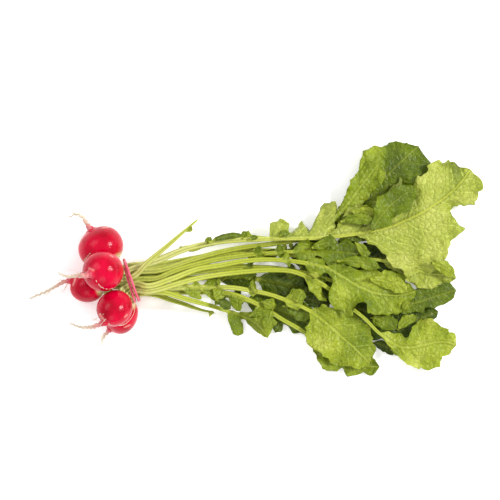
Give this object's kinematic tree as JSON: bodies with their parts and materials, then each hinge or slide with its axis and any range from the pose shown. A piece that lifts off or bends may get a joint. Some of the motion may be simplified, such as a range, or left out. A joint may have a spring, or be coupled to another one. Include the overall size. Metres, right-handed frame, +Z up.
{
  "type": "bunch of radishes",
  "caption": "Bunch of round red radishes with taproots and long leafy stalks, lying flat and tied at the neck with a twice-wound pink rubber band.",
  "frame": {"origin": "under the middle of the bunch, on the surface that it lies on", "axes": "+X from the radishes along the bunch to the leaf tips, +Y across the bunch, +Z up from the surface"},
  "size_m": [0.2914, 0.1502, 0.0509],
  "materials": {
    "radish_skin": "smooth waxy red skin",
    "leaf_green": "fresh green leaf with raised veins",
    "leaf_dark": "dark green leaf",
    "leaf_pale": "pale yellow-green leaf and stalk",
    "rubber_band": "smooth pinkish red rubber"
  },
  "bodies": {
    "root": {"radish_top": "radish_skin", "radish_upper": "radish_skin", "radish_small": "radish_skin", "radish_front": "radish_skin", "radish_lower": "radish_skin", "leaf_low_top": "leaf_dark", "leaf_low_right": "leaf_dark", "leaf_low_middle": "leaf_dark", "leaf_low_front": "leaf_dark", "leaf_light_tip": "leaf_pale", "leaf_dark_tip": "leaf_green", "leaf_front_end": "leaf_green", "leaf_thin": "leaf_pale", "leaf_top": "leaf_green", "leaf_spoon": "leaf_green", "leaf_lobed": "leaf_green", "leaf_front": "leaf_green", "leaf_pointed": "leaf_green", "leaf_front_right": "leaf_pale", "leaf_middle": "leaf_green", "leaf_big": "leaf_pale", "broken_stalk": "leaf_pale", "rubber_band": "rubber_band"}
  },
  "joints": []
}
